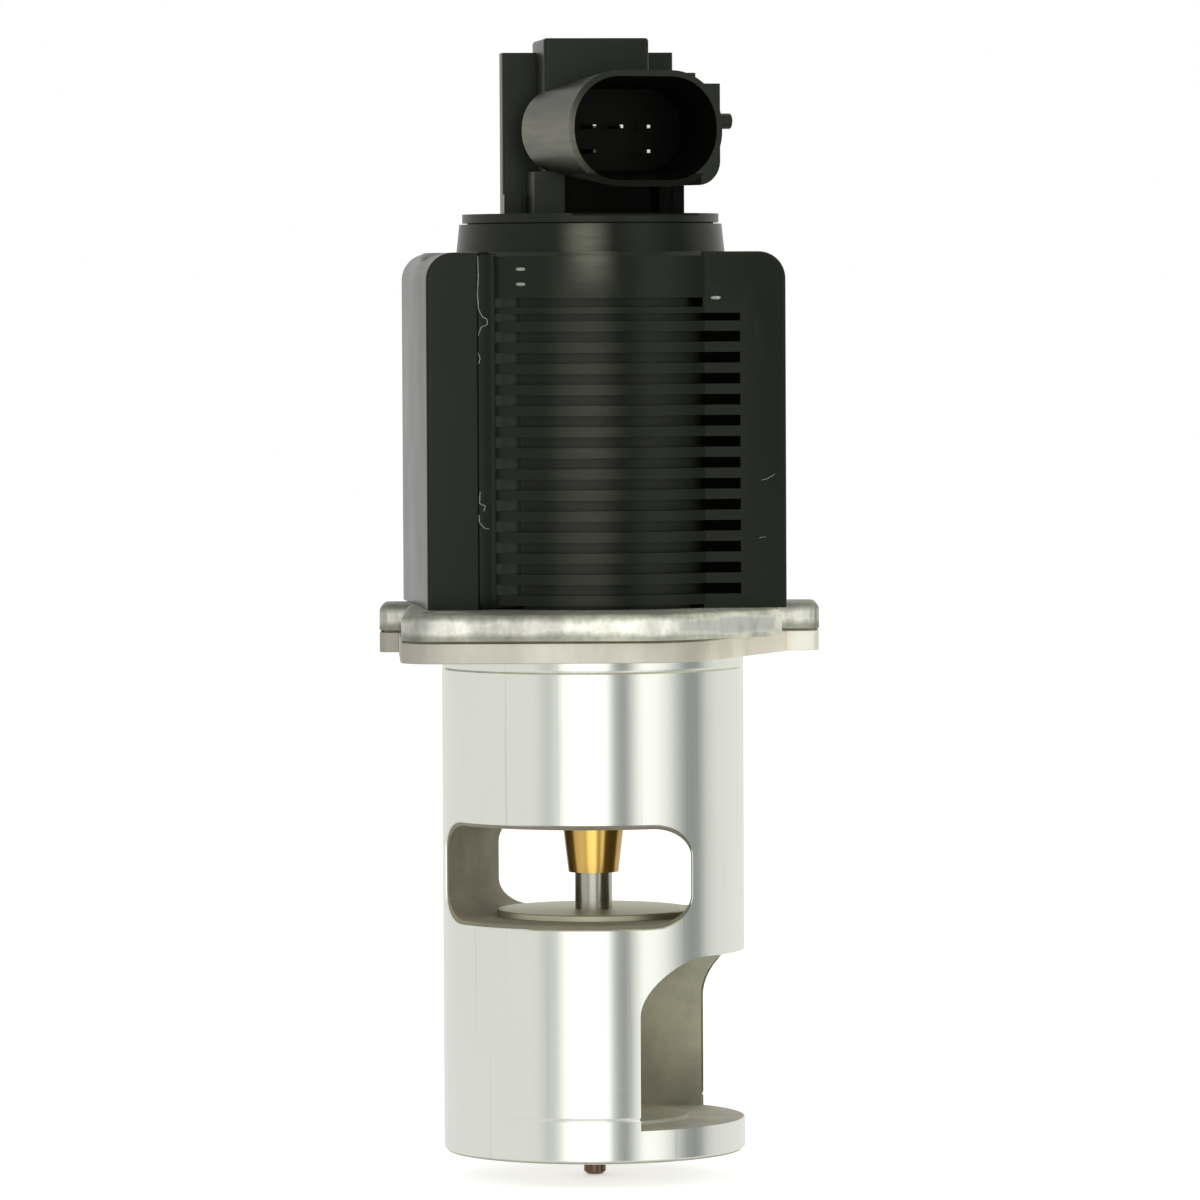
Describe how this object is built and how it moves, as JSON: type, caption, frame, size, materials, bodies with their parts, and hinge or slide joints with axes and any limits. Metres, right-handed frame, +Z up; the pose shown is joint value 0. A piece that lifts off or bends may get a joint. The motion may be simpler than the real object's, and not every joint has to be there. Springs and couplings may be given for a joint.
{
  "type": "exhaust gas recirculation valve",
  "caption": "Solenoid poppet valve with a turned plug-in body, window and side port, two-bolt flange, finned coil housing and a lift-sensor cap with connector.",
  "frame": {"origin": "on the valve axis, in the seating plane under the flange", "axes": "+Z up the valve axis towards the sensor cap, -Y towards the finned front of the coil, +X to the right seen from the front"},
  "size_m": [0.0664, 0.079, 0.1693],
  "materials": {
    "turned_aluminium": "fine turned, bright",
    "bronze_bush": "turned",
    "seat_steel": "ground",
    "brass": "turned, bright",
    "black_rubber": "matte",
    "plain_steel": "satin",
    "stem_steel": "ground",
    "head_steel": "turned",
    "brushed_plate": "brushed, matte",
    "gasket_sheet": "coated sheet",
    "zinc_plate": "zinc plated, burnished edge",
    "black_moulding": "moulded, satin gloss",
    "bobbin_plastic": "moulded",
    "copper_wire": "enamelled wire",
    "tin_plated": "tin plated",
    "spring_steel": "bright drawn",
    "black_cap": "moulded, fine texture",
    "white_plastic": "moulded",
    "sensor_ceramic": "printed ceramic plate"
  },
  "bodies": {
    "valve_housing": {"valve_body": "turned_aluminium", "bottom_plug": "turned_aluminium", "lower_guide_bush": "bronze_bush", "valve_seat_ring": "seat_steel", "stem_guide_bush": "brass", "stem_seal": "black_rubber", "seal_retainer": "plain_steel", "lower_plate": "brushed_plate", "flange_gasket": "gasket_sheet", "mounting_plate": "zinc_plate", "plate_screws": "plain_steel", "coil_housing": "black_moulding", "yoke_frame": "plain_steel", "coil_bobbin": "bobbin_plastic", "coil_winding": "copper_wire", "coil_terminals": "tin_plated", "armature_sleeve": "plain_steel", "pole_piece": "plain_steel", "return_spring": "spring_steel", "sensor_base": "bobbin_plastic", "base_seal": "black_rubber", "sensor_cap": "black_cap", "connector_pins": "tin_plated", "sensor_board": "sensor_ceramic", "sensor_spring": "spring_steel"},
    "valve_train": {"valve_stem": "stem_steel", "poppet_head": "head_steel", "armature": "plain_steel", "armature_clip": "plain_steel"},
    "sensor_slider": {"sensor_plunger": "white_plastic", "sensor_wiper": "spring_steel"}
  },
  "joints": [
    {"name": "valve_lift", "type": "slide", "parent": "valve_housing", "child": "valve_train", "axis": [0, 0, 1], "range_m": [0, 0.005], "stiffness_N_per_m": 3000, "springref_m": -0.006, "deforming": ["return_spring"]},
    {"name": "sensor_follow", "type": "slide", "parent": "valve_housing", "child": "sensor_slider", "axis": [0, 0, 1], "range_m": [0, 0.005], "stiffness_N_per_m": 150, "springref_m": -0.006, "deforming": ["sensor_spring"]}
  ],
  "couplings": [
    {"joint": "sensor_follow", "follows": "valve_lift", "ratio": 1}
  ]
}
